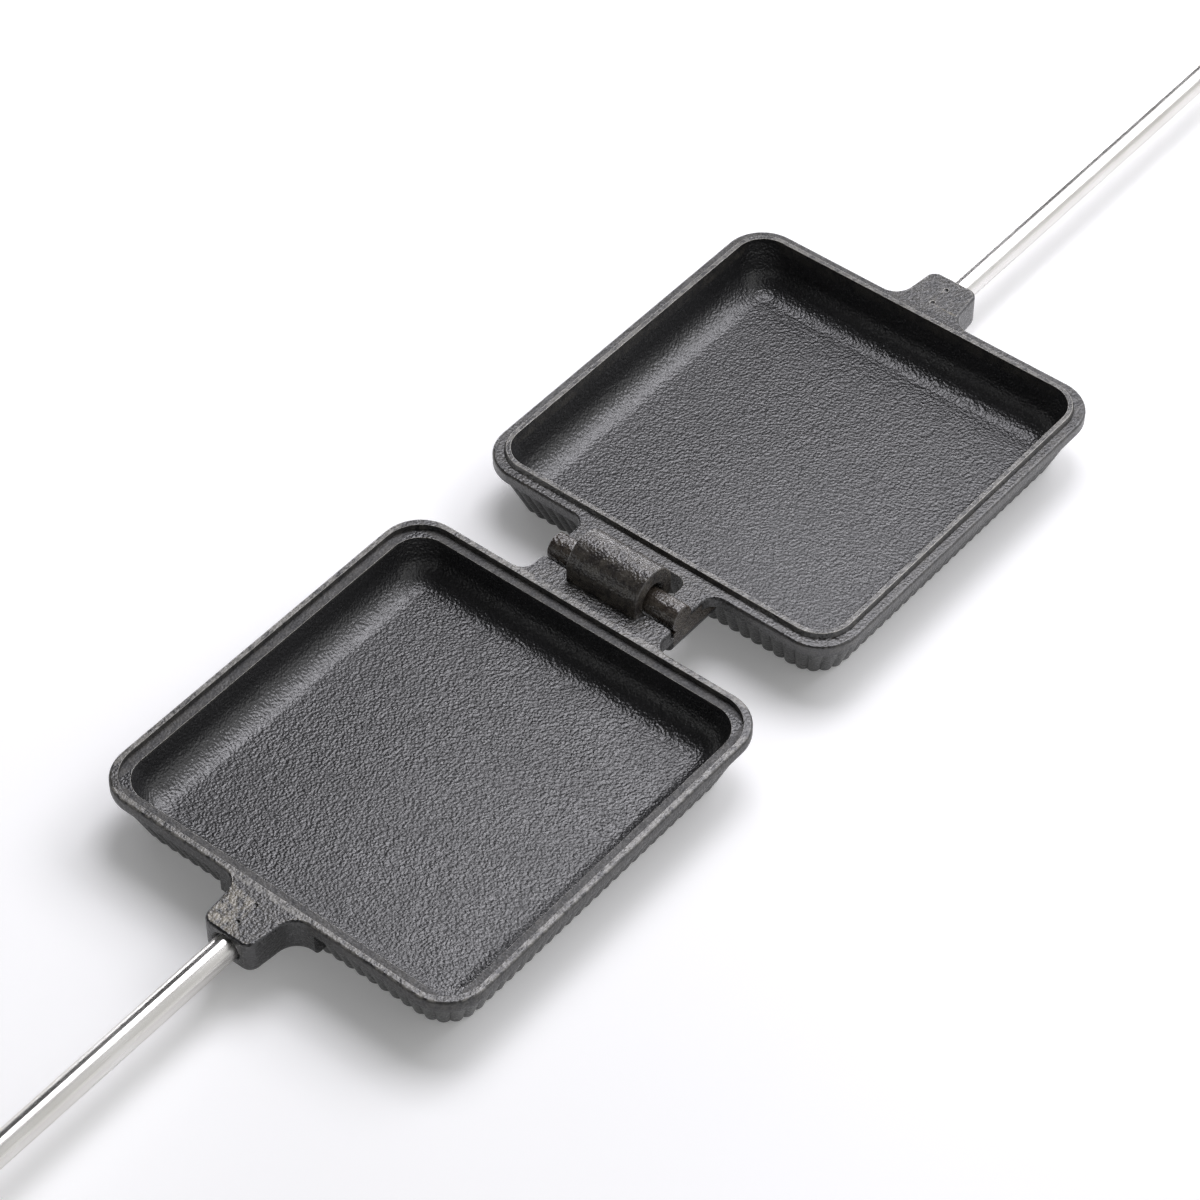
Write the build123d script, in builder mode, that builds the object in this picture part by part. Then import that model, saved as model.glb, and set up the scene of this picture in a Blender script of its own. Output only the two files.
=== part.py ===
from build123d import *
from math import atan2, cos, degrees, pi, radians, sin, sqrt, tan
import os


# A pie iron, lying open and hooked together. Two cast pans close on each other
# about a bar on one half that turns in a hook on the other. Each pan carries a
# rod and half of a turned wooden grip, and a small hook latches the grips shut.
# The origin is on the table under the hinge axis; +X runs from the hook half to
# the bar half, Y along the hinge bar, +Z up. Sizes are in millimetres.

# ---------------------------------------------------------------- driving sizes
# pan
pan_length = 108.0          # over the rim, along the rods
pan_width = 104.0           # over the rim, along the hinge
pan_depth = 15.8            # parting plane to the flat back
rim_corner = 10.5
rim_band = 2.8              # smooth band round the rim, above the reeds
rim_round = 0.7
lip_wall = 4.0              # rim edge to cavity edge, across the hinge
side_wall = 3.9             # the same at the sides
floor_wall = 3.5
cavity_corner = 7.5
cavity_draft = 7.0          # degrees
cavity_fillet = 7.5
# reeded outer wall
reed_pitch = 3.47           # along the straight sides, at the rim
reed_bulge = 0.8
reed_cap = 1.5              # height of the sloped top of a reed
reed_top_inset = 0.45       # reed crest behind the band, just under it
reed_slope = 0.40           # how far the wall leans in, per unit of depth
foot_chamfer = 0.7
# mating step round the rims
lip_height = 1.3
lip_top = 1.1
lip_base = 1.6
step_clearance = 0.7        # between the lip and the wall of the recess
step_drop = 0.2             # recess deeper than the lip is high
# hinge
rim_gap = 0.3               # left between the two rims when closed
hinge_offset = 10.5         # rim edge to hinge axis
bar_radius = 3.35
bar_half = 18.6             # half the bar's length
bar_end_round = 0.5
ear_width = 6.4
ear_depth = 9.0
ear_nose = 3.2              # ear end beyond the hinge axis
ear_ledge = 2.2             # step down in front of the bar
tab_thickness = 4.0
tab_half = 19.0
tab_corner = 1.6
tab_root_fillet = 3.5
slot_margin = 0.3           # rim edge to slot
slot_corner = 3.0
hook_half_width = 10.1
hook_wall = 3.0
hook_crown = 0.9            # extra thickness over the top of the hook
hook_edge_round = 0.45
hook_rise = 1.6             # centre of the hook's curve above the bar's centre
hook_lip_drop = 2.1         # hook tip below the parting plane
hinge_clearance = 0.3       # bar to hook, all round
# handle boss
boss_reach = 12.8
boss_tip_half = 6.8
boss_root_half = 8.0
boss_depth = 9.5
boss_corner = 2.8
boss_root_fillet = 5.0
boss_edge_round = 2.0
punch_radius = 0.65
punch_depth = 0.7
punch_near = 3.0            # punch marks, from the rim edge
punch_far = 8.7
# rods
rod_end_gap = 0.2
rod_chamfer = 0.4
rod_radius = 3.175
rod_bore_clearance = 0.05
rod_axis_drop = 4.75        # rod axis below the parting plane
rod_bore_inset = 0.7        # bore end inside the rim edge
bore_mouth = 4.0            # countersink radius
tang_radius = 2.4
tang_length = 8.0
# grips
grip_front = 549.0          # hinge axis to the front of the grip
grip_length = 146.0
grip_front_radius = 12.6
grip_rear_radius = 13.8
grip_belly_shift = 10.0     # fullest point behind the middle
grip_end_round = 2.6
grip_edge_round = 0.8
collar_radius = 4.4
collar_length = 5.0
collar_chamfer = 0.6
washer_radius = 4.5
washer_thickness = 1.0
nut_flats = 7.6
nut_length = 4.5
nut_dome_radius = 3.7
nut_wall = 2.2              # solid end of the nut past the tang
seat_gap = 0.02             # between pieces that are drawn tight
# latch
latch_station = 604.0       # hinge axis to the latch pivot
latch_drop = 7.0            # pivot below the parting plane
latch_thickness = 1.5
latch_arm_half = 5.0
latch_reach = 12.0          # arm past the catch
latch_finger_half = 3.0
notch_sweep = 40.0          # degrees round the pivot, out past the arm's edge
latch_running = 0.3         # clearance on each face and round the shanks
spot_depth = 0.9
spot_margin = 0.3
shank_radius = 2.0
thread_radius = 1.6
thread_length = 8.0
thread_point = 0.3          # hole left past the screw's end
head_radius = 3.8
head_height = 1.9
head_round = 1.2
drive_slot = 0.9
drive_depth = 0.9
spacer_radius = 3.8

# ---------------------------------------------------------------- derived sizes
pan_centre = pan_length / 2 + hinge_offset
reeds_long = round((pan_length - 2 * rim_corner) / reed_pitch)     # on each side along X
reeds_short = round((pan_width - 2 * rim_corner) / reed_pitch)     # on each side along Y
foot_corner = rim_corner - reed_slope * (pan_depth - rim_band) / 2
reeds_corner = round(pi / 2 * foot_corner / reed_pitch)
cavity_length = pan_length - 2 * lip_wall
cavity_width = pan_width - 2 * side_wall
cavity_depth = pan_depth - floor_wall
wall_shrink = cavity_depth * tan(radians(cavity_draft))
recess_depth = lip_height + step_drop
recess_length = cavity_length + 2 * (lip_base + step_clearance)
recess_width = cavity_width + 2 * (lip_base + step_clearance)
hook_bore = bar_radius + hinge_clearance
hook_outer = hook_bore + hook_wall
lip_draft = degrees(atan2(lip_base - lip_top, lip_height))
bar_height = rim_gap / 2                      # above the parting plane
hook_centre = bar_height + hook_rise
rod_bore_radius = rod_radius + rod_bore_clearance
rod_bore_end = pan_length / 2 - rod_bore_inset
rod_height = pan_depth - rod_axis_drop
boss_tip = pan_length / 2 + boss_reach
grip_radius = pan_depth                       # the open iron lies level on pans and grips
grip_rear = grip_front + grip_length
washer_start = grip_rear + seat_gap
nut_start = washer_start + washer_thickness + seat_gap
tang_start = grip_rear
tang_end = tang_start + tang_length
nut_end = tang_end + nut_wall
latch_height = pan_depth - latch_drop
catch_distance = 2 * latch_drop + rim_gap
grip_side = sqrt(grip_radius**2 - latch_drop**2)
spot_face = grip_side - spot_depth
latch_inner = grip_radius + latch_running
spacer_top = latch_inner - latch_running
latch_outer = latch_inner + latch_thickness
head_seat = latch_outer + latch_running

hook_place = Plane(origin=(-pan_centre, 0, pan_depth), x_dir=(1, 0, 0), z_dir=(0, 0, 1))
bar_place = Plane(origin=(pan_centre, 0, pan_depth), x_dir=(-1, 0, 0), z_dir=(0, 0, 1))


def side_view(place):
    """The upright plane through a pan's centre line, with the hinge towards +x."""
    return Plane(origin=place.origin, x_dir=place.x_dir, z_dir=-place.y_dir)


def end_view(place, distance):
    """The upright plane across a pan, this far from its centre towards the hinge."""
    return Plane(origin=place.origin + place.x_dir * distance, x_dir=place.y_dir, z_dir=place.x_dir)


def reed_valleys(inset):
    """Points between the reeds, once round a pan outline drawn in by this much."""
    half_x = pan_length / 2 - inset
    half_y = pan_width / 2 - inset
    corner = rim_corner - inset / 2
    run_x = half_x - corner
    run_y = half_y - corner
    sides = [
        (run_x, run_y, 0, (run_x, half_y), (-run_x, half_y), reeds_long),
        (-run_x, run_y, 90, (-half_x, run_y), (-half_x, -run_y), reeds_short),
        (-run_x, -run_y, 180, (-run_x, -half_y), (run_x, -half_y), reeds_long),
        (run_x, -run_y, 270, (half_x, -run_y), (half_x, run_y), reeds_short),
    ]
    points = []
    for centre_x, centre_y, start, side_from, side_to, reeds in sides:
        for step in range(reeds_corner):
            angle = radians(start + 90 * step / reeds_corner)
            points.append((centre_x + corner * cos(angle), centre_y + corner * sin(angle)))
        for step in range(reeds):
            share = step / reeds
            points.append((
                side_from[0] + (side_to[0] - side_from[0]) * share,
                side_from[1] + (side_to[1] - side_from[1]) * share,
            ))
    return points


def reeded_level(depth, inset, bulge):
    """One level of the reeded wall: arcs that bulge outwards between the valleys."""
    points = reed_valleys(inset)
    with BuildSketch(Plane.XY.offset(-depth)) as level:
        with BuildLine():
            pairs = zip(points, points[1:] + points[:1])
            add([SagittaArc(here, there, -bulge, mode=Mode.PRIVATE) for here, there in pairs])
        make_face()
    return level.sketch


def boss_plan():
    """Plan of the handle boss with its flared root."""
    rim = -pan_length / 2
    inner = rim + lip_wall + wall_shrink / 2
    flare = boss_root_half + boss_root_fillet + 0.5
    upper = [(inner, flare), (rim, flare), (rim, boss_root_half), (-boss_tip, boss_tip_half)]
    lower = [(x, -y) for x, y in reversed(upper)]
    with BuildSketch() as plan:
        with BuildLine():
            Polyline(upper + lower, close=True)
        make_face()
        fillet(plan.vertices().group_by(Axis.X)[0], boss_corner)
        roots = plan.vertices().filter_by_position(Axis.Y, -boss_root_half, boss_root_half)
        fillet(roots.filter_by_position(Axis.X, rim - 0.1, rim + 0.1), boss_root_fillet)
    return plan.sketch


# ---------------------------------------------------------------- shared castings
with BuildPart() as boss_block:
    add(boss_plan())
    extrude(amount=-boss_depth)
    under = boss_block.faces().sort_by(Axis.Z)[0].edges()
    outside = under.filter_by_position(Axis.X, -boss_tip - 1, -pan_length / 2 - boss_root_fillet / 2)
    fillet(outside, boss_edge_round)

# Both halves are cast from this blank, parting plane at z = 0, hinge towards +x.
with BuildPart() as pan_blank:
    crest = reed_top_inset + reed_bulge
    foot_inset = crest + reed_slope * (pan_depth - rim_band)
    foot_level = pan_depth - foot_chamfer
    cap_inset = crest + reed_slope * reed_cap
    foot_level_inset = crest + reed_slope * (foot_level - rim_band)
    levels = [
        reeded_level(rim_band, crest + reed_bulge, reed_bulge / 3),
        reeded_level(rim_band + reed_cap, cap_inset, reed_bulge),
        reeded_level(foot_level, foot_level_inset, reed_bulge),
        reeded_level(pan_depth, foot_inset + foot_chamfer, reed_bulge),
    ]
    loft(levels, ruled=True)
    add(boss_block.part)

# The hollow of a pan, the same in both halves.
with BuildPart() as cavity_core:
    with BuildSketch(Plane.XY.offset(lip_height)):
        RectangleRounded(cavity_length, cavity_width, cavity_corner)
    extrude(amount=-lip_height)
    with BuildSketch(Plane.XY):
        RectangleRounded(cavity_length, cavity_width, cavity_corner)
    with BuildSketch(Plane.XY.offset(-cavity_depth)):
        floor_corner = cavity_corner + 2
        RectangleRounded(cavity_length - 2 * wall_shrink, cavity_width - 2 * wall_shrink, floor_corner)
    loft(ruled=True)
    fillet(cavity_core.faces().sort_by(Axis.Z)[0].edges(), cavity_fillet)


os.makedirs("parts", exist_ok=True)


def finish(piece, name):
    """Label one finished piece and write it."""
    piece.label = name
    export_step(piece, f"parts/{name}.step")


def top_plate(hinge_outline, hinge_roots):
    """Plan of the flat top: rim, boss and hinge plate, with filleted inner corners."""
    with BuildSketch() as plan:
        RectangleRounded(pan_length, pan_width, rim_corner)
        add(boss_plan())
        with BuildLine():
            Polyline(hinge_outline, close=True)
        make_face()
        rim = pan_length / 2
        roots = plan.vertices().filter_by_position(Axis.X, rim - 0.1, rim + 0.1)
        fillet(roots.filter_by_position(Axis.Y, -hinge_roots - 0.1, hinge_roots + 0.1), tab_root_fillet)
        fillet(plan.vertices().group_by(Axis.X)[-1], tab_corner)
    return plan.sketch


def hinge_outline(half, outer):
    """Corners of a hinge plate in plan, from inside the rim out to its edge."""
    inner = cavity_length / 2
    return [(inner, half), (outer, half), (outer, -half), (inner, -half)]


def rod_bore(place):
    """The space cut for the rod in a boss, with its countersunk mouth."""
    mouth = boss_tip - (bore_mouth - rod_bore_radius)
    with BuildSketch(side_view(place)) as profile:
        with BuildLine():
            Polyline(
                (-rod_bore_end, -rod_axis_drop),
                (-rod_bore_end, -rod_axis_drop - rod_bore_radius),
                (-mouth, -rod_axis_drop - rod_bore_radius),
                (-boss_tip, -rod_axis_drop - bore_mouth),
                (-boss_tip, -rod_axis_drop),
                close=True,
            )
        make_face()
    axis = Axis(place.origin - place.z_dir * rod_axis_drop, place.x_dir)
    return revolve(profile.sketch, axis=axis, mode=Mode.PRIVATE)


def punch_marks(place):
    """The two punched pits that stake the rod in its boss."""
    marks = []
    for from_rim in (punch_near, punch_far):
        station = -(pan_length / 2 + from_rim)
        pit = Cone(0, punch_radius, punch_depth, mode=Mode.PRIVATE)
        marks.append(place.location * Pos(station, 0, -punch_depth / 2) * pit)
    return marks


def bar_ears(place):
    """The two ribs with rounded undersides that carry the ends of the hinge bar."""
    nose = pan_length / 2 + hinge_offset + ear_nose
    start = cavity_length / 2
    with BuildSketch(end_view(place, start)) as ribs:
        for side in (-1, 1):
            with Locations((side * (bar_half - ear_width / 2), -ear_depth + ear_width / 2)):
                Circle(ear_width / 2)
                straight = ear_depth - ear_width / 2 - ear_ledge
                Rectangle(ear_width, straight, align=(Align.CENTER, Align.MIN))
    return extrude(ribs.sketch, amount=nose - start, mode=Mode.PRIVATE)


# ---------------------------------------------------------------- hook half
hinge_x = pan_length / 2 + hinge_offset       # in a pan's own plan
tab_edge = hinge_x - hook_bore
# The hook: up from the tab, over the bar and down in front of it.
with BuildPart() as hook_loop:
    tip_round = hook_wall / 2
    tip_z = -hook_lip_drop + tip_round
    back = hinge_x - hook_outer
    front = hinge_x + hook_outer
    crown = hook_centre + hook_crown
    with BuildSketch(Plane.XZ):
        with BuildLine():
            Line((back, -rim_band), (back, crown))
            ThreePointArc((back, crown), (hinge_x, crown + hook_outer), (front, crown))
            Line((front, crown), (front, tip_z))
            ThreePointArc((front, tip_z), (front - tip_round, tip_z - tip_round), (front - hook_wall, tip_z))
            Line((front - hook_wall, tip_z), (front - hook_wall, hook_centre))
            ThreePointArc(
                (front - hook_wall, hook_centre),
                (hinge_x, hook_centre + hook_bore),
                (back + hook_wall, hook_centre),
            )
            Line((back + hook_wall, hook_centre), (back + hook_wall, -rim_band))
            Line((back + hook_wall, -rim_band), (back, -rim_band))
        make_face()
    extrude(amount=hook_half_width, both=True)
    fillet(hook_loop.faces().filter_by(Axis.Y).edges(), hook_edge_round)

with BuildPart() as hook_half_casting:
    with Locations(hook_place):
        add(pan_blank.part)
        add(top_plate(hinge_outline(tab_half, tab_edge), tab_half))
    extrude(amount=-rim_band)
    rim_edges = hook_half_casting.faces().filter_by(Axis.Z).sort_by(Axis.Z)[-1].outer_wire().edges()
    fillet(rim_edges, rim_round)
    # the tab that carries the hook, thicker than the rim band
    with BuildSketch(hook_place.offset(-rim_band)):
        with Locations(((cavity_length / 2 + tab_edge) / 2, 0)):
            Rectangle(tab_edge - cavity_length / 2, 2 * tab_half)
    extrude(amount=-(tab_thickness - rim_band))
    with Locations(hook_place):
        add(hook_loop.part)
    with Locations(hook_place):
        add(cavity_core.part, mode=Mode.SUBTRACT)
    # recess round the rim for the other half's lip
    with BuildSketch(hook_place):
        RectangleRounded(recess_length, recess_width, cavity_corner + lip_base + step_clearance)
    extrude(amount=-recess_depth, mode=Mode.SUBTRACT)
    add(rod_bore(hook_place), mode=Mode.SUBTRACT)
    add(punch_marks(hook_place), mode=Mode.SUBTRACT)

# ---------------------------------------------------------------- bar half
slot_start = pan_length / 2 + slot_margin
slot_end = hinge_x
with BuildPart() as hinge_bar:
    with BuildSketch(Plane.XZ):
        with Locations((hinge_x, bar_height)):
            Circle(bar_radius)
    extrude(amount=bar_half, both=True)
    fillet(hinge_bar.edges().filter_by(GeomType.CIRCLE), bar_end_round)

with BuildPart() as bar_half_casting:
    with Locations(bar_place):
        add(pan_blank.part)
        add(top_plate(hinge_outline(bar_half, hinge_x), bar_half))
    extrude(amount=-rim_band)
    rim_edges = bar_half_casting.faces().filter_by(Axis.Z).sort_by(Axis.Z)[-1].outer_wire().edges()
    fillet(rim_edges, rim_round)
    add(bar_ears(bar_place))
    # slot that the hook drops through
    with BuildSketch(bar_place):
        with Locations(((slot_start + slot_end) / 2, 0)):
            RectangleRounded(slot_end - slot_start, 2 * (bar_half - ear_width), slot_corner)
    extrude(amount=-ear_depth, mode=Mode.SUBTRACT)
    with Locations(bar_place):
        add(hinge_bar.part)
    # lip round the cavity that drops into the other half's recess
    lip_length = cavity_length + 2 * lip_base
    lip_width = cavity_width + 2 * lip_base
    with BuildSketch(bar_place):
        RectangleRounded(lip_length, lip_width, cavity_corner + lip_base)
    extrude(amount=lip_height, taper=lip_draft)
    with Locations(bar_place):
        add(cavity_core.part, mode=Mode.SUBTRACT)
    add(rod_bore(bar_place), mode=Mode.SUBTRACT)
    add(punch_marks(bar_place), mode=Mode.SUBTRACT)

finish(hook_half_casting.part, "hook_half_casting")
finish(bar_half_casting.part, "bar_half_casting")

# ---------------------------------------------------------------- rods and grips
# Each is made for the hook half, pointing towards -X, and mirrored for the other.
rod_axis = Axis((0, 0, rod_height), (1, 0, 0))
rod_start = pan_centre + rod_bore_end + rod_end_gap


def turned(*outline):
    """Sketch on the XZ plane of a turned piece's half outline: distance out, radius."""
    with BuildSketch(Plane.XZ) as profile:
        with BuildLine():
            points = [(-distance, rod_height + radius) for distance, radius in outline]
            ends = [(-outline[-1][0], rod_height), (-outline[0][0], rod_height)]
            Polyline(points + ends, close=True)
        make_face()
    return profile.sketch


with BuildPart() as hook_side_rod:
    add(turned(
        (rod_start, rod_radius - rod_chamfer),
        (rod_start + rod_chamfer, rod_radius),
        (tang_start, rod_radius),
        (tang_start, tang_radius),
        (tang_end, tang_radius),
    ))
    revolve(axis=rod_axis)

with BuildPart() as hook_side_collar:
    outer_end = grip_front - seat_gap
    inner_end = outer_end - collar_length
    bore = rod_radius + rod_bore_clearance
    add(turned(
        (inner_end, collar_radius - collar_chamfer),
        (inner_end + collar_chamfer, collar_radius),
        (outer_end, collar_radius),
    ))
    revolve(axis=rod_axis)
    with Locations(Location((-inner_end, 0, rod_height), (0, 90, 0))):
        Hole(bore, depth=2 * collar_length)

with BuildPart() as hook_side_grip:
    belly = (-((grip_front + grip_rear) / 2 + grip_belly_shift), pan_depth - grip_radius)
    front_corner = (-grip_front, pan_depth - grip_front_radius)
    rear_corner = (-grip_rear, pan_depth - grip_rear_radius)
    with BuildSketch(Plane.XZ):
        with BuildLine():
            TangentArc(belly, front_corner, tangent=(1, 0))
            TangentArc(belly, rear_corner, tangent=(-1, 0))
            Polyline(front_corner, (-grip_front, pan_depth), (-grip_rear, pan_depth), rear_corner)
        make_face()
    revolve(axis=Axis((0, 0, pan_depth), (1, 0, 0)))
    split(bisect_by=Plane.XY.offset(pan_depth), keep=Keep.BOTTOM)
    ends = hook_side_grip.faces().filter_by(Axis.X)
    fillet(ends.edges().filter_by(GeomType.CIRCLE), grip_end_round)
    flat = hook_side_grip.faces().filter_by(Axis.Z).sort_by(Axis.Z)[-1]
    fillet(flat.edges(), grip_edge_round)
    # bore for the rod, and a narrower one for its threaded end
    with Locations(Location((-grip_front, 0, rod_height), (0, 90, 0))):
        Hole(rod_radius + rod_bore_clearance, depth=grip_length)
    # spot face and pilot hole for the latch screw
    with Locations(Location((-latch_station, spot_face, latch_height), (-90, 0, 0))):
        CounterBoreHole(thread_radius, spacer_radius + spot_margin, 0, depth=thread_length)

with BuildPart() as hook_side_washer:
    with BuildSketch(Plane.YZ.offset(-washer_start)):
        with Locations((0, rod_height)):
            Circle(washer_radius)
            Circle(tang_radius + rod_bore_clearance, mode=Mode.SUBTRACT)
    extrude(amount=-washer_thickness)

with BuildPart() as hook_side_cap_nut:
    with BuildSketch(Plane.YZ.offset(-nut_start)):
        with Locations((0, rod_height)):
            RegularPolygon(nut_flats / 2, 6, major_radius=False)
    extrude(amount=-nut_length)
    with BuildSketch(Plane.XZ):
        with BuildLine():
            dome_start = nut_start + nut_length
            Line((-dome_start, rod_height), (-dome_start, rod_height + nut_dome_radius))
            EllipticalCenterArc(
                (-dome_start, rod_height), nut_end - dome_start, nut_dome_radius, 90, arc_size=90
            )
            Line((-nut_end, rod_height), (-dome_start, rod_height))
        make_face()
    revolve(axis=rod_axis)
    with Locations(Location((-nut_start, 0, rod_height), (0, 90, 0))):
        Hole(tang_radius + rod_bore_clearance, depth=tang_end - nut_start + rod_bore_clearance)

# ---------------------------------------------------------------- latch
def screw_outline():
    """Half outline of a latch screw, seen from above: distance from the rods, radius."""
    return [
        (spot_face - thread_length + thread_point, 0),
        (spot_face - thread_length + thread_point, thread_radius - rod_bore_clearance),
        (spot_face, thread_radius - rod_bore_clearance),
        (spot_face, shank_radius),
        (head_seat, shank_radius),
        (head_seat, head_radius),
    ]


with BuildPart() as latch_screw:
    with BuildSketch(Plane.XY.offset(latch_height)):
        with BuildLine():
            rounded = head_seat + head_height
            body = [(-latch_station + radius, out) for out, radius in screw_outline()]
            Polyline(body + [(-latch_station + head_radius, rounded - head_round)])
            ThreePointArc(
                (-latch_station + head_radius, rounded - head_round),
                (-latch_station + head_radius - 0.3 * head_round, rounded - 0.3 * head_round),
                (-latch_station + head_radius - head_round, rounded),
            )
            Polyline(
                (-latch_station + head_radius - head_round, rounded),
                (-latch_station, rounded),
                body[0],
            )
        make_face()
    revolve(axis=Axis((-latch_station, 0, latch_height), (0, 1, 0)))
    with Locations((-latch_station, head_seat + head_height, latch_height)):
        Box(2 * head_radius, 2 * drive_depth, drive_slot, mode=Mode.SUBTRACT)

with BuildPart() as latch_spacer:
    with BuildSketch(Plane.XZ.offset(-spot_face)):
        with Locations((-latch_station, latch_height)):
            Circle(spacer_radius)
            Circle(shank_radius + rod_bore_clearance, mode=Mode.SUBTRACT)
    extrude(amount=-(spacer_top - spot_face))

pivot = (-latch_station, latch_height)
notch_path = CenterArc(pivot, catch_distance, 180 - notch_sweep, arc_size=notch_sweep)
with BuildPart() as latch_hook:
    # lies back along the grip; its notch follows the catch's path round the pivot
    with BuildSketch(Plane.XZ.offset(-latch_inner)) as arm:
        neck_x = -latch_station - catch_distance
        tip_x = neck_x - latch_reach
        with Locations(pivot):
            Circle(latch_arm_half)
        with BuildLine():
            Polyline(
                (-latch_station, latch_height - latch_arm_half),
                (neck_x, latch_height - latch_arm_half),
                (tip_x, latch_height - latch_finger_half),
                (tip_x, latch_height + latch_finger_half),
                (neck_x, latch_height + latch_arm_half),
                (-latch_station, latch_height + latch_arm_half),
                close=True,
            )
        make_face()
        fillet(arm.vertices().group_by(Axis.X)[0], latch_finger_half - 0.5)
        SlotArc(notch_path, 2 * (shank_radius + latch_running), mode=Mode.SUBTRACT)
        with Locations(pivot):
            Circle(shank_radius + latch_running, mode=Mode.SUBTRACT)
    extrude(amount=-latch_thickness)

for side_piece, piece_name in (
    (hook_side_rod, "rod"),
    (hook_side_collar, "collar"),
    (hook_side_grip, "grip"),
    (hook_side_washer, "washer"),
    (hook_side_cap_nut, "cap_nut"),
):
    finish(side_piece.part, f"hook_side_{piece_name}")
    finish(mirror(side_piece.part, about=Plane.YZ), f"bar_side_{piece_name}")
finish(latch_screw.part, "latch_screw")
finish(mirror(latch_screw.part, about=Plane.YZ), "catch_screw")
finish(latch_spacer.part, "latch_spacer")
finish(mirror(latch_spacer.part, about=Plane.YZ), "catch_spacer")
finish(latch_hook.part, "latch_hook")
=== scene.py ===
"""Pie iron: two cast pans hooked at a hinge, each on a chromed rod with a half-round wooden grip."""

from math import cos, hypot, radians, sin

import bmesh
import bpy
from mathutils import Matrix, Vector


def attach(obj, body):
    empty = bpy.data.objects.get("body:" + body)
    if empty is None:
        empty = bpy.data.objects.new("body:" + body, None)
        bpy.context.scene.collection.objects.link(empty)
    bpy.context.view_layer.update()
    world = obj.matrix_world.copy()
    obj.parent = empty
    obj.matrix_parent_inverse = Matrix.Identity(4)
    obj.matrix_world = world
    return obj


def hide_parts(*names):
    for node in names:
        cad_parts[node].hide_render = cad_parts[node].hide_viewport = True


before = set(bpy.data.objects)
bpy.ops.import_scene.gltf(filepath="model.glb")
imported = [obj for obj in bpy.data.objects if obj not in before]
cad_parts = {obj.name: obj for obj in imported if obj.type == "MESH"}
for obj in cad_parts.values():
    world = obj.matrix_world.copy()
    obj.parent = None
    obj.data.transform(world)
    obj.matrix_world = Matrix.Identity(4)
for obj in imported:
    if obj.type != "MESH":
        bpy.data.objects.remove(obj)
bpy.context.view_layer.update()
scene = bpy.context.scene
MM = 0.001

# ---------------------------------------------------------------- values

PARTING_PLANE = 15.8 * MM
PAN_CENTRE = 64.5 * MM
PAN_HALF_LENGTH = 54 * MM
PAN_HALF_WIDTH = 52 * MM
RIM_WIDTH = 4.1 * MM
RIM_REACH = 2.0 * MM
BAND_WIDTH = 1.75 * MM
LIP_HEIGHT = 1.3 * MM
BOSS_ROOT = 118 * MM

SHARP_ANGLE = radians(28)
RIM_BREAK = 0.42 * MM
LOW_BREAK = 0.22 * MM
HOLLOW_BREAK = 0.2 * MM
WELD_DISTANCE = 0.001 * MM
FLAT_ANGLE = radians(0.3)

HINGE_HEIGHT = 15.95 * MM
HOOK_REACH = 9.4 * MM
HOOK_HALF = 10.3 * MM
HOOK_POLISH = 0.45
BAR_REACH = 3.5 * MM
BAR_HALF = 19 * MM
BAR_POLISH = 1.0

# Rim edges are worn bare, and their light grey is also a painted glint.
RIM_EDGE_WEAR_AND_GLINT = 1.0
LOW_EDGE_WEAR = 0.5
BOSS_WEAR = 0.94
TOP_WEAR = 0.12
TURNED_WEAR = 0.6

CAMERA_AZIMUTH = radians(39.145)
CAMERA_ELEVATION = radians(46.49)
CAMERA_DISTANCE = 0.90193
CAMERA_AIM = Vector((-6.98, -0.28, 15.8)) * MM
CAMERA_LENS = 119.735

FLOOR_REACH = 6.0
HORIZON_BAND = radians(6)
HORIZON_FADE = radians(18)
DARK_FILL = 0.05
BRIGHT_FILL = 0.75
BRIGHT_SIDE = (0.631, -0.776, 0)
BRIGHT_FROM = -0.15
BRIGHT_TO = 0.8
KEY_BOX = dict(azimuth=28, elevation=64, distance=0.8, width=0.42, height=0.48, watts=3.6)
SIDE_BOX = dict(azimuth=-15, elevation=43, distance=1.2, width=0.9, height=0.5, watts=6.0)
BACK_STRIP = dict(azimuth=45, elevation=8, distance=1.5, width=1.4, height=0.3, watts=8.0)
LAMP_COLOUR = (0.955, 0.945, 1.0)
PAPER_WHITE = (0.95, 0.95, 0.95, 1)
PAPER_GLOW = 0.16
FAR_GLOW = 0.5
GLOW_START = 0.3
GLOW_END = 0.95


# ---------------------------------------------------------------- materials


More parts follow.
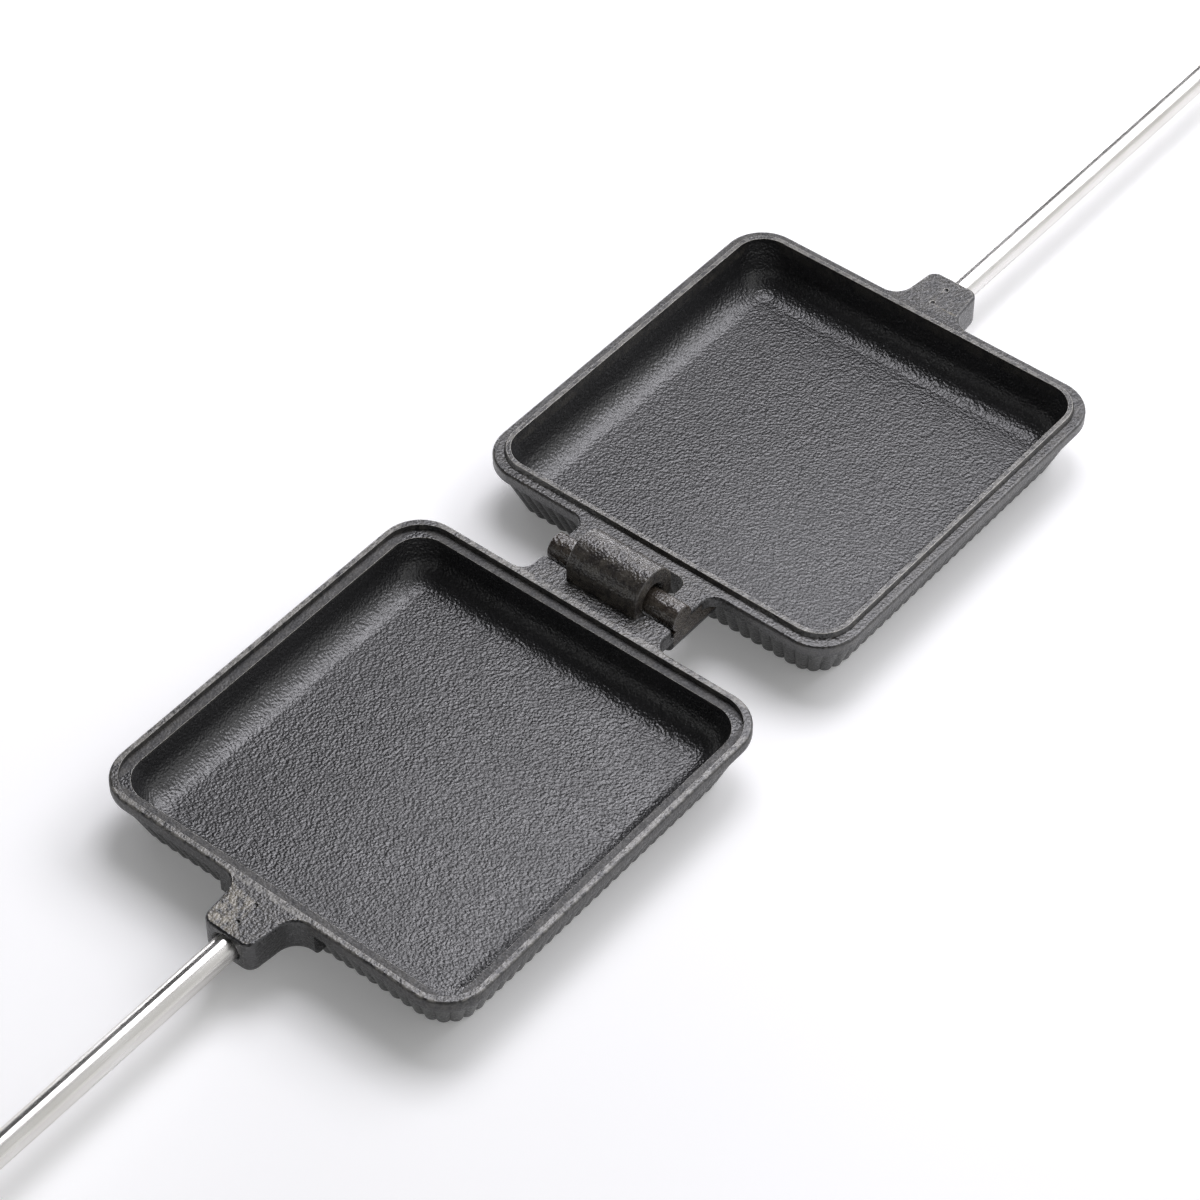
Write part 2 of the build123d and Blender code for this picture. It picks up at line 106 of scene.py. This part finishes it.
class Recipe:
    """A node material, with short calls for the nodes that its finish needs."""

    def __init__(self, name):
        self.material = bpy.data.materials.new(name)
        self.material.use_nodes = True
        self.tree = self.material.node_tree
        self.tree.nodes.clear()
        self.output = self.tree.nodes.new("ShaderNodeOutputMaterial")
        self.shader = self.tree.nodes.new("ShaderNodeBsdfPrincipled")
        self.tree.links.new(self.shader.outputs[0], self.output.inputs["Surface"])
        self.place = self.tree.nodes.new("ShaderNodeTexCoord").outputs["Object"]

    def link(self, source, socket):
        if isinstance(source, bpy.types.NodeSocket):
            self.tree.links.new(source, socket)
        else:
            socket.default_value = source
        return socket

    def node(self, kind, **settings):
        made = self.tree.nodes.new(kind)
        for key, value in settings.items():
            setattr(made, key, value)
        return made

    def stretched(self, scale):
        made = self.node("ShaderNodeMapping")
        self.link(self.place, made.inputs["Vector"])
        made.inputs["Scale"].default_value = scale
        return made.outputs[0]

    def noise(self, scale, detail=2.0, rough=0.5, at=None):
        made = self.node("ShaderNodeTexNoise")
        self.link(at or self.place, made.inputs["Vector"])
        made.inputs["Scale"].default_value = scale
        made.inputs["Detail"].default_value = detail
        made.inputs["Roughness"].default_value = rough
        return made.outputs[0]

    def pebbles(self, scale, smooth):
        made = self.node("ShaderNodeTexVoronoi", feature="SMOOTH_F1")
        self.link(self.place, made.inputs["Vector"])
        made.inputs["Scale"].default_value = scale
        made.inputs["Smoothness"].default_value = smooth
        return made.outputs["Distance"]

    def sum(self, kind, first, second, third=None):
        made = self.node("ShaderNodeMath", operation=kind)
        self.link(first, made.inputs[0])
        self.link(second, made.inputs[1])
        if third is not None:
            self.link(third, made.inputs[2])
        return made.outputs[0]

    def span(self, value, low, high, to_low=0.0, to_high=1.0, smooth=False):
        made = self.node("ShaderNodeMapRange", clamp=True)
        if smooth:
            made.interpolation_type = "SMOOTHSTEP"
        self.link(value, made.inputs["Value"])
        made.inputs["From Min"].default_value = low
        made.inputs["From Max"].default_value = high
        made.inputs["To Min"].default_value = to_low
        made.inputs["To Max"].default_value = to_high
        return made.outputs["Result"]

    def shades(self, value, *stops):
        made = self.node("ShaderNodeValToRGB")
        self.link(value, made.inputs["Fac"])
        ramp = made.color_ramp
        while len(ramp.elements) < len(stops):
            ramp.elements.new(0.5)
        for element, (position, colour) in zip(ramp.elements, stops):
            element.position = position
            element.color = (*colour, 1)
        return made.outputs["Color"]

    def mix(self, factor, first, second):
        made = self.node("ShaderNodeMix", data_type="RGBA")
        self.link(factor, made.inputs[0])
        for socket, value in ((made.inputs[6], first), (made.inputs[7], second)):
            self.link(value if isinstance(value, bpy.types.NodeSocket) else (*value, 1), socket)
        return made.outputs[2]

    def attribute(self, name):
        return self.node("ShaderNodeAttribute", attribute_name=name).outputs["Fac"]

    def bump(self, height, distance, strength=1.0, over=None):
        made = self.node("ShaderNodeBump")
        self.link(height, made.inputs["Height"])
        made.inputs["Distance"].default_value = distance
        made.inputs["Strength"].default_value = strength
        if over is not None:
            self.link(over, made.inputs["Normal"])
        return made.outputs[0]

    def finish(self, colour, rough, normal, **plain):
        self.link(colour, self.shader.inputs["Base Color"])
        self.link(rough, self.shader.inputs["Roughness"])
        self.link(normal, self.shader.inputs["Normal"])
        for key, value in plain.items():
            self.shader.inputs[key.replace("_", " ")].default_value = value
        return self.material


def rim_shares(r):
    """The rim round a pan's hollow, its bands that meet when shut, and the hook half's recess."""
    axes = r.node("ShaderNodeSeparateXYZ")
    r.link(r.place, axes.inputs[0])
    from_hinge = r.sum("ABSOLUTE", axes.outputs["X"], 0)
    along = r.sum("ABSOLUTE", r.sum("SUBTRACT", from_hinge, PAN_CENTRE), 0)
    across = r.sum("ABSOLUTE", axes.outputs["Y"], 0)
    past_end = r.sum("SUBTRACT", along, PAN_HALF_LENGTH)
    past_side = r.sum("SUBTRACT", across, PAN_HALF_WIDTH)
    out = r.sum("MAXIMUM", past_end, past_side)
    inside = r.span(out, -0.1 * MM, 0.2 * MM, 1.0, 0.0)
    beyond = r.span(out, -RIM_WIDTH - 0.2 * MM, -RIM_WIDTH)
    height = axes.outputs["Z"]
    high = r.span(height, PARTING_PLANE - RIM_REACH - 0.2 * MM, PARTING_PLANE - RIM_REACH)
    rim = r.sum("MULTIPLY", r.sum("MULTIPLY", inside, beyond), high)
    outer = r.span(out, -BAND_WIDTH - 0.1 * MM, -BAND_WIDTH)
    top = r.span(height, PARTING_PLANE - 0.3 * MM, PARTING_PLANE - 0.1 * MM)
    hook_side = r.span(axes.outputs["X"], -0.1 * MM, 0.0, 1.0, 0.0)
    band = r.sum("MULTIPLY", r.sum("MULTIPLY", outer, top), hook_side)
    lip_top = PARTING_PLANE + LIP_HEIGHT
    lip = r.span(height, lip_top - 0.3 * MM, lip_top - 0.1 * MM)
    # Meeting bands and lip tops: rubbed bare metal, painted bright partly as a glint.
    worn_and_glint = r.sum("MAXIMUM", r.sum("MULTIPLY", band, 0.4), r.sum("MULTIPLY", lip, 0.3))
    recess = r.sum("MULTIPLY", r.sum("SUBTRACT", 1.0, top), hook_side)
    return rim, r.sum("MULTIPLY", rim, worn_and_glint), r.sum("MULTIPLY", rim, recess)


def seasoned_iron():
    r = Recipe("seasoned_iron")
    pebbles = r.pebbles(1450, smooth=0.45)
    grains = r.noise(2150, 1.0, 0.45)
    sand = r.noise(4800, 1.0, 0.5)
    swells = r.noise(240, 2.0, 0.5)
    skin = r.sum("MULTIPLY_ADD", pebbles, -0.9, r.sum("MULTIPLY", grains, 0.7))
    skin = r.sum("MULTIPLY_ADD", sand, 0.1, skin)
    patches = r.noise(38, 3.0, 0.6)
    rim, band, recess = rim_shares(r)
    chips = r.span(r.noise(520, 3.0, 0.65), 0.38, 0.58)
    rubbing_and_glint = r.attribute("wear_and_glint")
    # Bare edges and bands: worn metal, partly a painted glint.
    nicks = r.span(r.noise(760, 2.0, 0.6), 0.36, 0.56, 0.55, 1.0)
    bare_and_glint = r.sum("MULTIPLY", r.span(rubbing_and_glint, 0.95, 1.0), nicks)
    bare_and_glint = r.sum("MAXIMUM", bare_and_glint, r.sum("MULTIPLY", band, chips))
    wear_and_glint = r.sum("MAXIMUM", rubbing_and_glint, r.sum("MULTIPLY", rim, TOP_WEAR))
    wear_and_glint = r.sum("MULTIPLY", wear_and_glint, chips)
    body = r.shades(patches, (0.3, (0.0045, 0.0045, 0.0052)), (0.7, (0.0095, 0.0092, 0.0104)))
    flecks = r.span(grains, 0.5, 0.72, 0.0, 0.4)
    body = r.mix(flecks, body, (0.075, 0.075, 0.077))
    tones = r.noise(300, 2.0, 0.5)
    rubbed = r.shades(tones, (0.35, (0.15, 0.134, 0.104)), (0.65, (0.31, 0.285, 0.232)))
    colour = r.mix(wear_and_glint, body, rubbed)
    # Light grey of worn bare metal, also painted bright as the glint that the edges catch.
    colour = r.mix(bare_and_glint, colour, (0.4, 0.385, 0.35))
    handled = r.attribute("handled")
    colour = r.mix(r.sum("MULTIPLY", handled, 0.7), colour, (0.03, 0.02, 0.015))
    rough = r.span(r.noise(90, 3.0, 0.6), 0.3, 0.7, 0.5, 0.57)
    rough = r.sum("MULTIPLY_ADD", grains, -0.4, rough)
    rough = r.sum("MULTIPLY_ADD", handled, -0.04, rough)
    rough = r.sum("MULTIPLY_ADD", wear_and_glint, -0.06, rough)
    rough = r.sum("MULTIPLY_ADD", recess, 0.25, rough)
    normal = r.bump(swells, 0.25 * MM, 0.35)
    relief = r.sum("MULTIPLY", skin, r.span(rim, 0.0, 1.0, 1.0, 0.6))
    normal = r.bump(relief, 0.14 * MM, 1.0, over=normal)
    return r.finish(colour, rough, normal, Metallic=0.0, Specular_IOR_Level=0.9)


def drawn_chrome():
    r = Recipe("drawn_chrome")
    along = r.stretched((6, 900, 900))
    lines = r.noise(1.0, 3.0, 0.6, at=along)
    smudges = r.noise(22, 3.0, 0.6)
    colour = r.shades(smudges, (0.3, (0.62, 0.6, 0.57)), (0.7, (0.74, 0.73, 0.71)))
    rough = r.span(r.sum("MULTIPLY_ADD", lines, 0.5, smudges), 0.5, 1.0, 0.2, 0.32)
    normal = r.bump(lines, 0.05 * MM, 0.25)
    return r.finish(colour, rough, normal, Metallic=1.0)


def plated_steel():
    r = Recipe("plated_steel")
    brushing = r.noise(1.0, 3.0, 0.65, at=r.stretched((2600, 2600, 240)))
    stains = r.noise(130, 3.0, 0.6)
    colour = r.shades(stains, (0.3, (0.42, 0.41, 0.39)), (0.72, (0.6, 0.59, 0.57)))
    rough = r.span(r.sum("MULTIPLY_ADD", brushing, 0.6, stains), 0.5, 1.1, 0.24, 0.42)
    normal = r.bump(brushing, 0.06 * MM, 0.3)
    return r.finish(colour, rough, normal, Metallic=1.0)


def oiled_hardwood():
    r = Recipe("oiled_hardwood")
    grain_run = r.stretched((7, 95, 60))
    bend = r.noise(1.0, 2.0, 0.5, at=grain_run)
    rings = r.node("ShaderNodeTexWave", wave_type="RINGS", rings_direction="X")
    r.link(r.stretched((0.9, 58, 33)), rings.inputs["Vector"])
    rings.inputs["Scale"].default_value = 2.6
    rings.inputs["Distortion"].default_value = 5.0
    rings.inputs["Detail"].default_value = 3.0
    rings.inputs["Detail Scale"].default_value = 1.3
    fibres = r.noise(1.0, 3.0, 0.6, at=r.stretched((70, 2600, 2600)))
    pores = r.noise(1.0, 2.0, 0.5, at=r.stretched((220, 3600, 3600)))
    figure = r.sum("MULTIPLY_ADD", bend, 0.45, rings.outputs["Fac"])
    colour = r.shades(
        figure,
        (0.15, (0.155, 0.068, 0.028)),
        (0.6, (0.24, 0.116, 0.05)),
        (1.0, (0.3, 0.16, 0.073)),
    )
    colour = r.mix(r.span(fibres, 0.3, 0.75, 0.0, 0.3), colour, (0.14, 0.06, 0.025))
    colour = r.mix(r.span(pores, 0.62, 0.72, 0.0, 0.7), colour, (0.07, 0.03, 0.014))
    palm = r.span(r.noise(26, 3.0, 0.6), 0.42, 0.68)
    colour = r.mix(r.sum("MULTIPLY", palm, 0.45), colour, (0.09, 0.038, 0.017))
    rough = r.span(r.sum("ADD", fibres, bend), 0.7, 1.3, 0.38, 0.52)
    rough = r.sum("MULTIPLY_ADD", palm, -0.1, rough)
    relief = r.sum("MULTIPLY_ADD", r.span(pores, 0.55, 0.72), -0.8, fibres)
    normal = r.bump(relief, 0.08 * MM, 0.45)
    return r.finish(colour, rough, normal, Coat_Weight=0.25, Coat_Roughness=0.28)


iron = seasoned_iron()
chrome = drawn_chrome()
steel = plated_steel()
hardwood = oiled_hardwood()


# ---------------------------------------------------------------- castings


def sharp(bm, convex):
    """The edges that turn by more than the sharp angle, either round a corner or into a hollow."""
    return [
        e
        for e in bm.edges
        if e.is_manifold and e.calc_face_angle() > SHARP_ANGLE and e.is_convex == convex
    ]


def broken_edges(bm, edges, offset):
    return bmesh.ops.bevel(
        bm,
        geom=edges,
        offset=offset,
        offset_type="OFFSET",
        affect="EDGES",
        segments=2,
        profile=0.5,
        material=-1,
        clamp_overlap=True,
    )["faces"]


def top_wear(face):
    """How far the top of a boss, or any other flat top, is rubbed."""
    centre = face.calc_center_median()
    if face.normal.z < 0.99 or centre.z < PARTING_PLANE - 0.5 * MM:
        return 0.0
    return BOSS_WEAR if abs(centre.x) > BOSS_ROOT else TOP_WEAR


def dressed_casting(node, name, body, turned_reach, turned_half, polish):
    """The casting with its edges broken, and how far its rubbed edges and faces are worn; the rim
    edges' value also stands for a painted glint.
    """
    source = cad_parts[node]
    bm = bmesh.new()
    bm.from_mesh(source.data)
    bmesh.ops.remove_doubles(bm, verts=bm.verts, dist=WELD_DISTANCE)
    bmesh.ops.dissolve_limit(bm, angle_limit=FLAT_ANGLE, verts=bm.verts, edges=bm.edges)
    wear_and_glint = bm.faces.layers.float.new("wear_and_glint")
    handled = bm.faces.layers.float.new("handled")
    for face in bm.faces:
        face[wear_and_glint] = top_wear(face)
        centre = face.calc_center_median()
        from_axis = hypot(centre.x, centre.z - HINGE_HEIGHT)
        if from_axis < turned_reach and abs(centre.y) < turned_half:
            face[handled] = polish
            face[wear_and_glint] = TURNED_WEAR * polish
    under_rim = PARTING_PLANE - RIM_REACH
    rim_edges = [e for e in sharp(bm, True) if min(v.co.z for v in e.verts) > under_rim]
    # Rim edge bevels: worn bare metal, with a painted glint along them.
    for face in broken_edges(bm, rim_edges, RIM_BREAK):
        if face.is_valid:
            face[wear_and_glint] = RIM_EDGE_WEAR_AND_GLINT
    low_edges = [e for e in sharp(bm, True) if max(v.co.z for v in e.verts) < under_rim]
    for face in broken_edges(bm, low_edges, LOW_BREAK):
        if face.is_valid:
            face[wear_and_glint] = LOW_EDGE_WEAR
    broken_edges(bm, sharp(bm, False), HOLLOW_BREAK)
    for face in bm.faces:
        face.smooth = True
    mesh = bpy.data.meshes.new(name)
    bm.to_mesh(mesh)
    bm.free()
    piece = bpy.data.objects.new(name, mesh)
    scene.collection.objects.link(piece)
    mesh.materials.append(iron)
    weighted = piece.modifiers.new("even_shading", "WEIGHTED_NORMAL")
    weighted.keep_sharp = True
    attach(piece, body)
    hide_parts(node)


dressed_casting("hook_half_casting", "hook_pan", "hook_side", HOOK_REACH, HOOK_HALF, HOOK_POLISH)
dressed_casting("bar_half_casting", "bar_pan", "bar_side", BAR_REACH, BAR_HALF, BAR_POLISH)


# ---------------------------------------------------------------- carried parts

FINISH_OF = {"rod": chrome, "grip": hardwood, "collar": steel, "washer": steel, "nut": steel}

for name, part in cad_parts.items():
    if part.hide_render:
        continue
    finish = FINISH_OF.get(name.rsplit("_", 1)[-1], steel)
    for material_slot in part.material_slots:
        material_slot.material = finish


# ---------------------------------------------------------------- floor, light and camera


def white_floor():
    bm = bmesh.new()
    bmesh.ops.create_circle(bm, cap_ends=True, radius=FLOOR_REACH, segments=96)
    mesh = bpy.data.meshes.new("floor")
    bm.to_mesh(mesh)
    bm.free()
    floor = bpy.data.objects.new("floor", mesh)
    scene.collection.objects.link(floor)
    r = Recipe("white_paper")
    r.shader.inputs["Base Color"].default_value = PAPER_WHITE
    r.shader.inputs["Roughness"].default_value = 0.9
    r.shader.inputs["Specular IOR Level"].default_value = 0.0
    r.shader.inputs["Emission Color"].default_value = (1, 1, 1, 1)
    path = r.node("ShaderNodeLightPath").outputs
    seen = r.sum("MAXIMUM", path["Is Camera Ray"], path["Is Glossy Ray"])
    seen = r.sum("MAXIMUM", seen, path["Is Transmission Ray"])
    away = r.node("ShaderNodeVectorMath", operation="LENGTH")
    r.link(r.place, away.inputs[0])
    glow = r.span(away.outputs["Value"], GLOW_START, GLOW_END, PAPER_GLOW, FAR_GLOW, smooth=True)
    r.link(r.sum("MULTIPLY", seen, glow), r.shader.inputs["Emission Strength"])
    mesh.materials.append(r.material)


def studio_world():
    """White round the horizon; above it a bright side wall on the right and a dark room on the left."""
    world = bpy.data.worlds.new("studio")
    scene.world = world
    world.use_nodes = True
    tree = world.node_tree
    tree.nodes.clear()
    output = tree.nodes.new("ShaderNodeOutputWorld")
    light = tree.nodes.new("ShaderNodeBackground")
    light.inputs["Color"].default_value = (1, 1, 1, 1)
    direction = tree.nodes.new("ShaderNodeTexCoord").outputs["Generated"]

    def ramp(value, low, high, to_low, to_high):
        made = tree.nodes.new("ShaderNodeMapRange")
        made.interpolation_type = "SMOOTHSTEP"
        tree.links.new(value, made.inputs["Value"])
        for name, number in (("From Min", low), ("From Max", high)):
            made.inputs[name].default_value = number
        for name, number in (("To Min", to_low), ("To Max", to_high)):
            if isinstance(number, bpy.types.NodeSocket):
                tree.links.new(number, made.inputs[name])
            else:
                made.inputs[name].default_value = number
        return made.outputs["Result"]

    sideways = tree.nodes.new("ShaderNodeVectorMath")
    sideways.operation = "DOT_PRODUCT"
    sideways.inputs[1].default_value = BRIGHT_SIDE
    tree.links.new(direction, sideways.inputs[0])
    parts = tree.nodes.new("ShaderNodeSeparateXYZ")
    tree.links.new(direction, parts.inputs[0])
    overhead = ramp(sideways.outputs["Value"], BRIGHT_FROM, BRIGHT_TO, DARK_FILL, BRIGHT_FILL)
    level = ramp(parts.outputs["Z"], sin(HORIZON_BAND), sin(HORIZON_FADE), 1.0, overhead)
    tree.links.new(level, light.inputs["Strength"])
    tree.links.new(light.outputs[0], output.inputs["Surface"])


def soft_box(name, azimuth, elevation, distance, width, height, watts):
    """A lit panel that faces the middle of the part; the azimuth turns from +X towards +Y."""
    lamp = bpy.data.lights.new(name, "AREA")
    lamp.shape = "RECTANGLE"
    lamp.size = width
    lamp.size_y = height
    lamp.energy = watts
    lamp.color = LAMP_COLOUR
    box = bpy.data.objects.new(name, lamp)
    scene.collection.objects.link(box)
    turn = radians(azimuth)
    rise = radians(elevation)
    towards = Vector((cos(rise) * cos(turn), cos(rise) * sin(turn), sin(rise)))
    box.location = towards * distance
    box.rotation_euler = towards.to_track_quat("Z", "Y").to_euler()


def camera():
    data = bpy.data.cameras.new("camera")
    data.lens = CAMERA_LENS
    data.sensor_width = 36
    data.clip_start = 0.01
    data.clip_end = 50
    made = bpy.data.objects.new("camera", data)
    scene.collection.objects.link(made)
    level = cos(CAMERA_ELEVATION)
    sight = Vector((level * cos(CAMERA_AZIMUTH), level * sin(CAMERA_AZIMUTH), -sin(CAMERA_ELEVATION)))
    made.location = CAMERA_AIM - sight * CAMERA_DISTANCE
    made.rotation_euler = sight.to_track_quat("-Z", "Y").to_euler()
    scene.camera = made


white_floor()
studio_world()
soft_box("key_box", **KEY_BOX)
soft_box("side_box", **SIDE_BOX)
soft_box("back_strip", **BACK_STRIP)
camera()
scene.view_settings.view_transform = "Standard"
